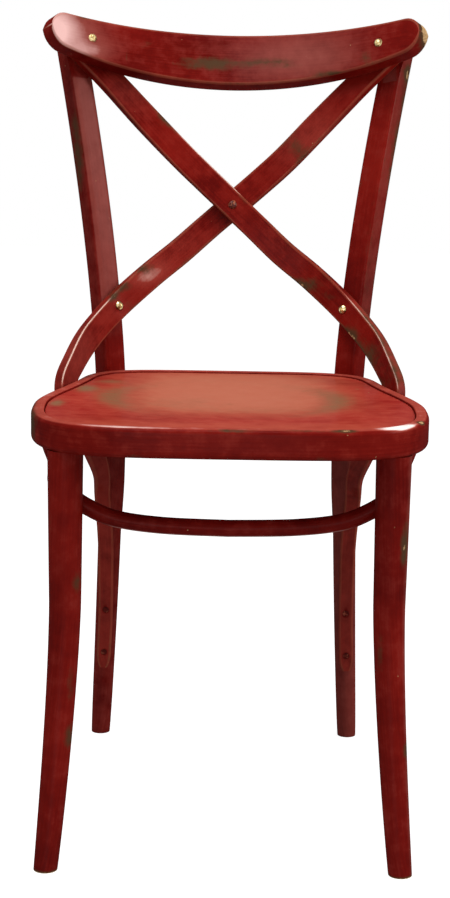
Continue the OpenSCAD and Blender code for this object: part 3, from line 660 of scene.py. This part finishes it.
# painted sheen on the facets toward the sitter (inner), painted light on those to the side (outer)
# and low down under the seat, and how worn the facets are
postTones = {
    "Left": {"innerPaintedSheen": 0.55, "outerPaintedLight": 0.10, "lowPaintedLight": 0.12, "innerRub": 0, "outerRub": 0},
    "Right": {"innerPaintedSheen": 0, "outerPaintedLight": 0.22, "lowPaintedLight": 0.36, "innerRub": 0.15,
              "outerRub": 0.20},
}
postPieces = {}
for sideName, sign in (("Left", -1), ("Right", 1)):
    rings = postRings() * (sign, 1, 1)
    z, look = rings[..., 2], postTones[sideName]
    inner, outer = onFacet(270), onFacet(0) * smooth((z - 480) / 60)
    # painted sheen and painted light on the facets and low down
    fadeAndPaintedLight = (look["innerPaintedSheen"] * inner * smooth((z - 500) / 60) + look["outerPaintedLight"] * outer
            + look["lowPaintedLight"] * smooth((440 - z) / 40))
    mottled = (look["outerRub"] * outer + look["innerRub"] * inner) * smooth((z - 480) / 60)
    postPieces[sideName] = makePiece("rearPost" + sideName, rings, beechPaint,
                                     edge=rearPost["edgeWear"] * cornerWear(rings), fadeAndPaintedLight=fadeAndPaintedLight,
                                     rub=spread(rings, postGrazes[sideName]) + mottled)
print("rear posts made")


# crest rail
crest = {
    "width": 453, "height": 63, "endHeight": 39, "thickness": 23, "radius": 370, "tilt": 22,
    "bottomHeight": 811, "setback": 454, "round": 3.5, "rows": 120,
}
crestHalfAngle = math.degrees(math.asin(
    crest["width"] / 2 / (crest["radius"] + crest["thickness"])))
crestEndAngle = math.degrees(crest["endHeight"] / 2 / (crest["radius"] + crest["thickness"] / 2))


crestUp = np.array([0, sind(crest["tilt"]), cosd(crest["tilt"])])
crestBack = np.array([0, cosd(crest["tilt"]), -sind(crest["tilt"])])


def crestPoint(a, v, off):  # angle along the rail, height up the board, way back from its front
    r = crest["radius"] + off
    return (np.array([r * sind(a), crest["setback"], crest["bottomHeight"]]) + crestUp * v
            + crestBack * (r * cosd(a) - crest["radius"]))


def crestOut(a):
    return crestBack * cosd(a) + (sind(a), 0, 0)


def crestBoard(a):
    return crest["height"] - (crest["height"] - crest["endHeight"]) * (a / crestHalfAngle) ** 2


def crestHalf(a):  # half the board's height, with its ends rounded off
    u = max(0, abs(a) - crestHalfAngle + crestEndAngle) / crestEndAngle
    return max(1.5, crestBoard(a) / 2 * math.sqrt(max(0, 1 - u * u)))


def softBox(w, t, r, along, deep, corner=6):  # rounded rectangle, closer points by its corners
    r = min(r, 0.48 * min(w, t))
    points = []
    fractions = [0.5 - 0.5 * np.cos(np.linspace(0, np.pi, count + 2))[1:-1]
                 for count in (deep, along)]
    centres = [(w / 2 - r, t / 2 - r), (r - w / 2, t / 2 - r), (r - w / 2, r - t / 2),
               (w / 2 - r, r - t / 2)]
    for c, (x, y) in enumerate(centres):
        for a in np.linspace(90 * c, 90 * c + 90, corner):
            points.append((x + r * cosd(a), y + r * sind(a)))
        start = points[-1]
        nx, ny = centres[(c + 1) % 4]
        end = (nx + r * cosd(90 * c + 90), ny + r * sind(90 * c + 90))
        for u in fractions[(c + 1) % 2]:
            points.append((lerp(start[0], end[0], u), lerp(start[1], end[1], u)))
    return np.array(points)


def crestSection(height):
    return softBox(crest["thickness"], height, crest["round"], along=4, deep=10)


def crestRings():
    bend = crestHalfAngle - crestEndAngle
    ends = crestEndAngle * sind(np.array([12, 24, 36, 48, 58, 68, 76, 83, 90]))
    angles = [*(-bend - ends[::-1]), *np.linspace(-bend, bend, crest["rows"]), *(bend + ends)]
    return np.array([[
        crestPoint(a, crest["height"] - crestBoard(a) / 2 + y, crest["thickness"] / 2 + x)
        for x, y in crestSection(2 * crestHalf(a))] for a in angles])


rings = crestRings()
crestRubs = [  # angle along the rail, height up the board, spread in mm, strength
    (-3.7, 25, 26, 10, 0.60), (-9, 24, 30, 9, 0.40), (4, 27, 30, 8, 0.56), (9.5, 26, 18, 6, 0.46),
    (-17, 42, 12, 4, 0.60), (-20.5, 27, 1.6, 18, 0.55), (-24.3, 20, 8, 6, 0.24),
    (-29, 61, 16, 3, 0.36), (0, -1, 150, 3, 0.22), (-26, 30, 10, 8, 0.14), (24.5, 24, 9, 9, 0.52),
    (18, 8, 40, 5, 0.50), (14, 20, 30, 6, 0.16),
]
crestSpots = [(*crestPoint(a, v, 0), wide, 14, high, strength)
              for a, v, wide, high, strength in crestRubs]
# painted sheen on the rail's front: a strong highlight at its left end and a broad one right of the
# middle
crestPaintedSheen = [(-213, 418, 868, 24, 40, 30, 2.05), (-180, 436, 846, 26, 40, 9, 0.8),
              (-182, 432, 862, 38, 40, 28, 0.55), (86, 462, 842, 84, 40, 30, 0.62)]
crestEndRub = [(222, 430, 872, 14, 24, 18, 1.3)]  # bare wood on the right end
onFront = crestSection(crest["height"])[:, 0] < 1.6 - crest["thickness"] / 2
crestPiece = makePiece(
    "crestRail", rings, beechPaint, fadeAndPaintedLight=onFront * spread(rings, crestPaintedSheen),
    rub=np.where(onFront, spread(rings, crestSpots), spread(rings, crestEndRub)))
print("crest rail made")


# cross strips
strip = {
    "width": 31.5, "thickness": 12, "tongueWidth": 17.5, "tongueThickness": 9,
    "crossingHeight": 667, "postScrewHeight": 548.5, "tongueHeight": 94, "round": 2.2,
    "lowRadius": 290, "hollow": 0.22, "contactBearing": 22, "contactTurn": 60, "housing": 1,
    "endLength": 19.5, "endTaper": 0.7, "screwBeside": 4, "steps": 10,
}
behindCrest = crest["thickness"] + strip["thickness"] / 2 + gap
backRadius = crest["radius"] + behindCrest
postFront = (postCentre(strip["postScrewHeight"]) - postSide * strip["screwBeside"]
             - postOut * (rearPost["depth"] / 2 + strip["thickness"] / 2 + gap))
surfaceTop = crestPoint(0, 0, behindCrest)
surfaceLow = postFront[1] + strip["lowRadius"] - math.sqrt(
    strip["lowRadius"] ** 2 - postFront[0] ** 2)


def surfaceY(x, z):  # the hollow sheet in which both strips lie across the back
    u = (z - strip["postScrewHeight"]) / (surfaceTop[2] - strip["postScrewHeight"])
    r = lerp(strip["lowRadius"], backRadius, u)
    share = strip["hollow"] * u + (1 - strip["hollow"]) * u * u
    middle = lerp(surfaceLow, surfaceTop[1], share)
    return middle - r + math.sqrt(r * r - x * x)


def surfaceOut(x, z):
    sx = (surfaceY(x + 2, z) - surfaceY(x - 2, z)) / 4
    sz = (surfaceY(x, z + 2) - surfaceY(x, z - 2)) / 4
    return unit([-sx, 1, -sz])


def facing(turn):
    return np.array([sind(turn), cosd(turn), 0])


def onSurface(x, share, lift):  # share of the way from the crossing up, or below 0 down
    ends = (strip["postScrewHeight"], strip["crossingHeight"], surfaceTop[2])
    z = lerp(ends[1], ends[2] if share > 0 else ends[0], abs(share))
    n = surfaceOut(x, z)
    p = np.array([x, surfaceY(x, z), z]) + n * lift
    return [*p, *n, strip["width"], strip["thickness"]]


def onCrest(a, v):
    return [*crestPoint(a, v, behindCrest), *crestOut(a), strip["width"] - 1, strip["thickness"]]


def onLeg(share, shift=0, turn=0, wider=0):  # share of the way from its end to the ring
    z, t = lerp(strip["tongueHeight"], seatBottom, share), strip["tongueThickness"]
    p = postCentre(z)
    return [p[0] + shift, p[1] - postReach(z) - t / 2 - gap, z, *facing(turn),
            strip["tongueWidth"] + wider, t]


sideScrewOut = facing(strip["contactTurn"])
ringContact = np.append(seatPoint(strip["contactBearing"]), seatBottom + seat["ringHeight"] / 2)
ringContact = ringContact + sideScrewOut * (strip["thickness"] / 2 - strip["housing"])


def bySeat(shift, turn, lessWidth, lessThickness=0.0):  # near the place where it meets the ring
    return [*(ringContact + shift), *facing(turn), strip["width"] - lessWidth,
            strip["thickness"] - lessThickness]


def stripRoute(lift):  # from behind the crest down to the leg
    turn = strip["contactTurn"]
    return [
        onCrest(-29.5, 45), onCrest(-25.4, 23.5), onCrest(-21.2, -1),
        onSurface(-104, 0.75, 0), onSurface(-63.5, 0.436, lift * 0.7),
        onSurface(-33, 0.222, lift), onSurface(0, 0, lift), onSurface(31, -0.232, lift),
        onSurface(62, -0.468, lift * 0.7), onSurface(98, -0.71, 0),
        [*postFront, *postOut, strip["width"], strip["thickness"]],
        bySeat((-24, 65, 62), 34, 1), bySeat((-8, 28, 35), 50, 2),
        bySeat((0, 6, 12), turn - 3, 2.5), bySeat((-5.5, 3, -17), turn, 3),
        bySeat((-23, 15, -46), 48, 5, 0.8), bySeat((-33, 40, -76), 33, 8, 1.6),
        bySeat((-38.2, 72, -106), 20, 12, 2.2),
        onLeg(0.643, 9, 9, 1.5), onLeg(0.487, 4, 5, 1.5), onLeg(0.336, 1.5, 0, 0.5),
        onLeg(0.191), onLeg(0.075), onLeg(0),
    ]


def stripSection(w, t):
    return softBox(w, t, strip["round"], along=8, deep=3)


def stripRings(lift, grow=0.0):
    route = throughPoints(stripRoute(lift), strip["steps"])
    at = route[:, :3]
    run = unit(np.gradient(at, axis=0))
    left = np.concatenate([np.cumsum(np.linalg.norm(np.diff(at[::-1], axis=0), axis=1))[::-1], [0]])
    rings = []
    for p, direction, row, remaining in zip(at, run, route, left):
        out = unit(row[3:6] - (row[3:6] @ direction) * direction)
        wide = np.cross(out, direction)
        end = max(0, 1 - remaining / strip["endLength"])
        trim = math.sqrt(1 - strip["endTaper"] * end ** 2)
        outline = stripSection(row[6] * trim + grow, row[7] + grow)
        rings.append(p + np.outer(outline[:, 0], wide) + np.outer(outline[:, 1], out))
    return np.array(rings)


crossingLift = strip["thickness"] / 2 + gap
stripGrazes = {
    "Front": [(146, 400, 520, 12, 40, 14, 0.62), (168, 380, 502, 14, 60, 16, 0.66),
              (184, 350, 476, 13, 60, 18, 0.48),
              (-78, 450, 770, 20, 20, 16, 0.40), (92, 430, 576, 22, 40, 10, 0.62),
              (118, 420, 562, 12, 40, 6, 0.45),
              (9, 445, 669, 18, 12, 14, 0.20), (150, 400, 100, 14, 20, 30, 0.25)],
    "Rear": [(-139, 410, 559, 9, 40, 8, 0.55), (-126, 420, 570, 11, 40, 7, 0.50),
             (-100, 430, 590, 14, 40, 8, 0.50), (-168, 380, 522, 8, 30, 12, 0.30),
             (-122, 420, 548, 10, 40, 8, 0.36), (76, 460, 737, 14, 40, 16, 0.50),
             (-60, 440, 610, 26, 20, 20, 0.18), (-150, 400, 100, 14, 20, 30, 0.25)],
}
# painted sheen on the strips
stripPaintedSheen = {
    "Front": [(-120, 450, 800, 40, 30, 30, 0.25)],
    "Rear": [(-108, 427, 580, 20, 50, 10, 0.72), (-92, 430, 590, 18, 50, 12, 0.62),
             (-136, 410, 546, 30, 50, 26, 0.25), (-190, 370, 488, 30, 70, 46, 0.72),
             (100, 455, 745, 50, 40, 40, 0.4), (-60, 440, 615, 40, 40, 30, 0.2)],
}
sideways, backways = stripSection(strip["width"], strip["thickness"]).T
outerCorner = (sideways < -0.465 * strip["width"]) & (backways < -0.4 * strip["thickness"])
outerSide = sideways < -0.48 * strip["width"]
# painted highlights on the outer corner and side by the hip and on the corner above the crossing, and
# the side's wear by the hip
stripEdgeHighlightsAndWear = {
    "Front": {"corner": 2.1, "side": 0.5, "sideRub": 0.26, "upperCornerHighlight": 1.7},
    "Rear": {"corner": 2.2, "side": 0, "sideRub": 0, "upperCornerHighlight": 0},
}
stripPieces = {}
for stripName, sign, lift in (("Front", 1, -crossingLift), ("Rear", -1, crossingLift)):
    rings = stripRings(lift) * (sign, 1, 1)
    z, look = rings[..., 2], stripEdgeHighlightsAndWear[stripName]
    belowSeat = smooth((430 - z) / 60)
    byHip = smooth((z - 462) / 20) * smooth((585 - z) / 50)
    aboveCrossing = smooth((z - 672) / 16) * smooth((790 - z) / 60)
    # painted sheen spots, painted light below the seat, and painted highlights on the outer corner
    # and side
    fadeAndPaintedLight = (spread(rings, stripPaintedSheen[stripName]) + 0.30 * belowSeat
            + (look["corner"] * outerCorner + look["side"] * outerSide) * byHip
            + look["upperCornerHighlight"] * outerCorner * aboveCrossing)
    rub = spread(rings, stripGrazes[stripName]) + look["sideRub"] * outerSide * byHip
    stripPieces[stripName] = makePiece("crossStrip" + stripName, rings, stripPaint,
                                       rub=rub, fadeAndPaintedLight=fadeAndPaintedLight)
print("cross strips made")


# front stretcher
stretcher = {"diameter": 18, "drop": 86, "bearing": 17, "tenonDiameter": 13, "tenonLength": 16,
             "screwDrop": 51.5, "sides": 32, "steps": 10}
bowEnd = seatInset(-stretcher["bearing"], seat["ringWidth"] / 2)
bowScrewHeight = seatBottom - stretcher["screwDrop"]
bowBack = legTop[1] + legRadius(bowScrewHeight) + stretcher["diameter"] / 2 + gap


def stretcherRings():
    x, y, low = bowEnd[0], bowEnd[1], seatBottom - stretcher["drop"]
    half = throughPoints([
        [x, y, seatBottom], [x, y - 3, seatBottom - 12], [x - 9, y - 22, seatBottom - 30],
        [legTop[0] + 13, bowBack + 14, seatBottom - 41],
        [legTop[0] + 2, bowBack + 1.5, seatBottom - 50],
        [legTop[0] - 20, bowBack, seatBottom - 65],
        [legTop[0] - 50, bowBack, low + 8.5], [legTop[0] - 100, bowBack, low + 2],
        [0, bowBack, low]], stretcher["steps"])
    route = np.concatenate([half, (half * (-1, 1, 1))[-2::-1]])
    run = unit(np.gradient(route, axis=0))
    run[0], run[-1] = (0, 0, -1), (0, 0, 1)
    section = circle(stretcher["sides"]) * stretcher["diameter"] / 2
    rings = []
    for p, direction in zip(route, run):
        wide = unit(np.cross([0, 1, 0.001], direction))
        up = np.cross(direction, wide)
        rings.append(p + np.outer(section[:, 0], wide) + np.outer(section[:, 1], up))
    share = stretcher["tenonDiameter"] / stretcher["diameter"]

    def tenon(ring, height):
        return ring.mean(0) + (0, 0, height) + (ring - ring.mean(0)) * share

    length = stretcher["tenonLength"]
    return np.array([tenon(rings[0], length), tenon(rings[0], 0)] + rings
                    + [tenon(rings[-1], 0), tenon(rings[-1], length)])


rings = stretcherRings()
bowGrazes = [(-120, 80, 362, 20, 14, 8, 0.22), (40, 80, 362, 60, 14, 7, 0.20),
             (130, 80, 368, 18, 14, 8, 0.28)]
# a thin painted light line along its lower front, standing for the floor's light shining up
belly = unit(rings - rings.mean(1, keepdims=True)) @ unit((0, -0.45, -1))
bowPiece = makePiece("frontStretcher", rings, beechPaint, edge=np.zeros(rings.shape[:2]) + 0.12,
                     fadeAndPaintedLight=smooth((belly - 0.93) / 0.05), rub=spread(rings, bowGrazes))
print("front stretcher made")


# larger holes and seats are cut as in the frame; most shanks run through whole wood
fastener = {
    "domeHead": 10.5, "smallHead": 8, "headRoom": 0.6, "headSeat": 4,
    "sunkHead": 7.4, "sunkDepth": 0.5, "sunkHeight": 2.6, "shank": 4, "sunkHole": 12,
    "sunkUp": (20, 76), "bolt": 6, "boltHole": 75, "boltUp": 14, "boltHead": 15,
    "boltHeadSeat": 10, "washer": 16, "washerHole": 30, "boltRoom": 1, "holeBottom": 0.5,
}


def flip(v, sign):
    return np.asarray(v, float) * (sign, 1, 1)


def growCutter(rings, sign):  # a piece's form, a little larger
    cutter = makePiece("cutter", flip(rings, sign), beechPaint)
    scene.collection.objects.unlink(cutter)
    return cutter


boltHeight = seatBottom + fastener["boltUp"]
boltOuter = np.array([postSeat[0], postSeat[1], boltHeight]) + postOut * rearPost["depth"] / 2
ringInner = rearPost["depth"] + seat["ringWidth"] - rearPost["housing"] - 4
postScrewFrom = postFront - postOut * strip["thickness"] / 2
sideScrewFrom = ringContact + sideScrewOut * strip["thickness"] / 2

cutters = []
for sign in (-1, 1):
    inward = flip(-postOut, sign)
    cutters += [
        rod(flip([*place, seatBottom], sign), [0, 0, 1], look["tenonDiameter"] + 2 * holeGap,
            look["tenonLength"] + fastener["holeBottom"], 1)
        for place, look in ((legTop, frontLeg), (bowEnd, stretcher))]
    cutters += [
        rod(flip(boltOuter, sign), inward, fastener["bolt"] + 2 * holeGap, fastener["boltHole"]),
        rod(flip(boltOuter - postOut * ringInner, sign), inward,
            fastener["washer"] + fastener["boltRoom"], fastener["washerHole"]),
        growCutter(postRings(gap), sign), growCutter(stripRings(0, 2 * gap), sign),
    ]
cutAway(ringPiece, cutters)
for sideName, sign in (("Left", -1), ("Right", 1)):
    cutAway(postPieces[sideName], [
        rod(crestPoint(0, 2, -crest["radius"]), crestUp,
            2 * (crest["radius"] + crest["thickness"] + strip["thickness"] + 2 * gap), 90,
            sides=360),
        growCutter(stripRings(0, 2 * gap), sign),
        rod(flip(boltOuter, sign), flip(postOut, sign),
            fastener["boltHead"] + fastener["boltRoom"], fastener["boltHeadSeat"]),
    ])
back, shankHole = [0, 1, 0], fastener["shank"] + 2 * holeGap
for stripName, sign in (("Front", 1), ("Rear", -1)):
    cutters = [
        rod(flip(place, sign), flip(out, sign), fastener["domeHead"] + fastener["headRoom"],
            fastener["headSeat"])
        for place, out in ((postScrewFrom, -postOut), (sideScrewFrom, sideScrewOut))]
    for z in [strip["tongueHeight"] + up for up in fastener["sunkUp"]]:
        p = postCentre(z)
        face = np.array([p[0], p[1] - postReach(z) - strip["tongueThickness"] - gap, z])
        cutters += [
            rod(flip(face, sign), back, fastener["sunkHead"] + fastener["headRoom"],
                fastener["sunkDepth"] + holeGap, 1),
            rod(flip(face + (0, fastener["sunkDepth"], 0), sign), back,
                fastener["sunkHead"] + 2 * holeGap, fastener["sunkHeight"], 0, shankHole),
            rod(flip(face, sign), back, shankHole, fastener["sunkHole"]),
        ]
    cutAway(stripPieces[stripName], cutters)
cutAway(bowPiece, [
    rod(flip([legTop[0], bowBack + stretcher["diameter"] / 2, bowScrewHeight], sign), back,
        fastener["smallHead"] + fastener["headRoom"], fastener["headSeat"]) for sign in (-1, 1)])
print("holes and seats cut")

# each piece takes its node's place in the frame
settle(ringPiece, "seat_ring")
settle(panelPiece, "seat_panel")
settle(crestPiece, "crest_rail")
settle(bowPiece, "front_stretcher")
for sideName in ("Left", "Right"):
    settle(legPieces[sideName], "front_leg_" + sideName.lower())
    settle(postPieces[sideName], "rear_post_" + sideName.lower())
for stripName in ("Front", "Rear"):
    settle(stripPieces[stripName], "cross_strip_" + stripName.lower())

# the frame's own screws, bolts and nuts keep their shape and get their metals
for finish, nodes in (
        (brassMetal, ("crest_screws", "post_strip_screws")),
        (handledPaint, ("crossing_screw",)), (screwPaint, ("lower_strip_screws",)),
        (steelMetal, ("seat_side_screws", "stretcher_screws", "post_bolts", "post_bolt_washers",
                      "post_bolt_nuts"))):
    for node in nodes:
        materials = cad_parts[node].data.materials
        materials.clear()
        materials.append(finish)
print("screws finished")


# floor, light and camera
studio = {
    "ambient": 0.30, "floor": "#a6a6a6", "floorGlow": 0.92, "floorHalf": 8,
    # watts, then place, size and aim in metres
    "windowLight": (36, (2.3, -0.75, 1.45), (0.9, 1.3), (0, 0, 0.6)),
    "softLight": (44, (-0.35, -0.55, 2.6), (1.5, 1.5), (0, 0, 0.6)),
    "fillLight": (18, (-0.3, -2.9, 0.35), (1.4, 1.4), (0, 0, 0.3)),
}


def seenWhite(tree):  # 1 where the camera sees it, straight or by way of metal or glass
    path = tree.nodes.new("ShaderNodeLightPath")
    seen = 0.0
    for kind in ("Is Camera Ray", "Is Glossy Ray", "Is Transmission Ray"):
        seen = add(tree, "Math", {0: path.outputs[kind], 1: seen}, operation="MAXIMUM")
    return seen


half = studio["floorHalf"]
floorMesh = bpy.data.meshes.new("studioFloor")
floorMesh.from_pydata([(-half, -half, 0), (half, -half, 0), (half, half, 0), (-half, half, 0)],
                      [], [(0, 1, 2, 3)])
floor = bpy.data.objects.new("studioFloor", floorMesh)
scene.collection.objects.link(floor)
floorPaint, tree = newMaterial("paleFloorPaint")
glow = add(tree, "Math", {0: seenWhite(tree), 1: studio["floorGlow"]}, operation="MULTIPLY")
matte = add(tree, "BsdfPrincipled", {
    "Base Color": colour(studio["floor"]), "Roughness": 0.9, "Specular IOR Level": 0.0,
    "Emission Color": (1, 1, 1, 1), "Emission Strength": glow})
add(tree, "OutputMaterial", {"Surface": matte})
floorMesh.materials.append(floorPaint)

world = bpy.data.worlds.new("studio")
scene.world = world
world.use_nodes = True
tree = world.node_tree
tree.nodes.clear()
soft = add(tree, "Background", {"Color": (1, 1, 1, 1), "Strength": studio["ambient"]})
white = add(tree, "Background", {"Color": (1, 1, 1, 1), "Strength": 1.0})
mixed = add(tree, "MixShader", {0: seenWhite(tree), 1: soft, 2: white})
add(tree, "OutputWorld", {"Surface": mixed})

for name in ("windowLight", "softLight", "fillLight"):
    power, at, size, target = studio[name]
    light = bpy.data.lights.new(name, "AREA")
    light.energy, light.shape = power, "RECTANGLE"
    light.size, light.size_y = size
    lamp = bpy.data.objects.new(name, light)
    lamp.location = at
    lamp.rotation_euler = (Vector(at) - Vector(target)).to_track_quat("Z", "Y").to_euler()
    scene.collection.objects.link(lamp)

# metres, radians and pixels, fitted to the outline in the photograph
view = {"x": -0.00885, "back": 1.8947, "height": 0.7972, "down": 0.1808, "roll": 0.0168,
        "yaw": 0.0020, "focal": 1931.9, "tall": 898, "sensor": 36.0}
camera = bpy.data.cameras.new("photoCamera")
camera.sensor_fit = "VERTICAL"
camera.sensor_height = view["sensor"]
camera.lens = view["focal"] * view["sensor"] / view["tall"]
camera.clip_end = 50
cameraObject = bpy.data.objects.new("photoCamera", camera)
place = Matrix.Translation((view["x"], -view["back"] - frameMiddle * mm, view["height"]))
for turn, axis in ((-view["yaw"], "Z"), (math.pi / 2 - view["down"], "X"), (view["roll"], "Z")):
    place = place @ Matrix.Rotation(turn, 4, axis)
cameraObject.matrix_world = place
scene.collection.objects.link(cameraObject)
scene.camera = cameraObject
scene.view_settings.view_transform = "Standard"
print("studio ready")
